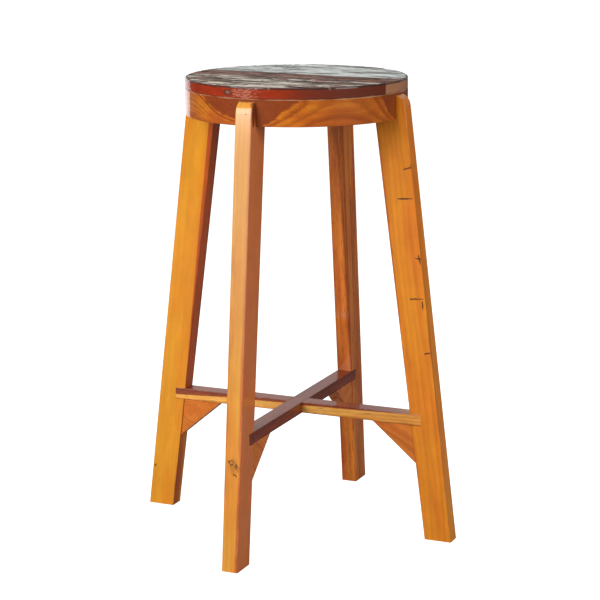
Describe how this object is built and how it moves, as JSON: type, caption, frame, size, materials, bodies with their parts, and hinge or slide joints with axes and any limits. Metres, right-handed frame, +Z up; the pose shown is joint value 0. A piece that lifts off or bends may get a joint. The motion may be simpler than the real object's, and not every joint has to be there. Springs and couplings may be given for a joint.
{
  "type": "bar stool",
  "caption": "Backless round wooden bar stool with splayed legs and a crossed footrest on gussets.",
  "frame": {"origin": "on the floor, under the middle of the round seat", "axes": "+Z up; +X towards the right leg and +Y towards the back leg, along the two footrest rails"},
  "size_m": [0.551, 0.551, 0.75],
  "materials": {
    "weathered_grey_board": "old grey-brown paint worn through to the wood, lacquered",
    "worn_red_strip": "old red-brown paint, worn, lacquered",
    "weathered_blue_board": "old pale blue-grey paint, worn, lacquered",
    "ring_hardwood": "oiled and lacquered red-orange hardwood",
    "leg_hardwood": "oiled and lacquered honey hardwood",
    "rail_hardwood": "oiled and lacquered hardwood, worn on top",
    "gusset_hardwood": "oiled and lacquered orange hardwood",
    "dowel_wood": "plain turned hardwood",
    "steel": "zinc-plated steel"
  },
  "bodies": {
    "root": {"seat_board_near": "weathered_grey_board", "seat_strip_middle": "worn_red_strip", "seat_board_far": "weathered_blue_board", "ring_front_right": "ring_hardwood", "ring_back_right": "ring_hardwood", "ring_back_left": "ring_hardwood", "ring_front_left": "ring_hardwood", "leg_front": "leg_hardwood", "leg_right": "leg_hardwood", "leg_back": "leg_hardwood", "leg_left": "leg_hardwood", "rail_left_right": "rail_hardwood", "rail_front_back": "rail_hardwood", "gusset_front": "gusset_hardwood", "gusset_right": "gusset_hardwood", "gusset_back": "gusset_hardwood", "gusset_left": "gusset_hardwood", "board_dowels": "dowel_wood", "rail_end_dowels": "dowel_wood", "ring_to_board_screws": "steel", "ring_to_leg_screws": "steel", "leg_head_pins": "steel", "gusset_to_rail_screws": "steel", "gusset_to_leg_screws": "steel", "rail_crossing_screw": "steel"}
  },
  "joints": []
}
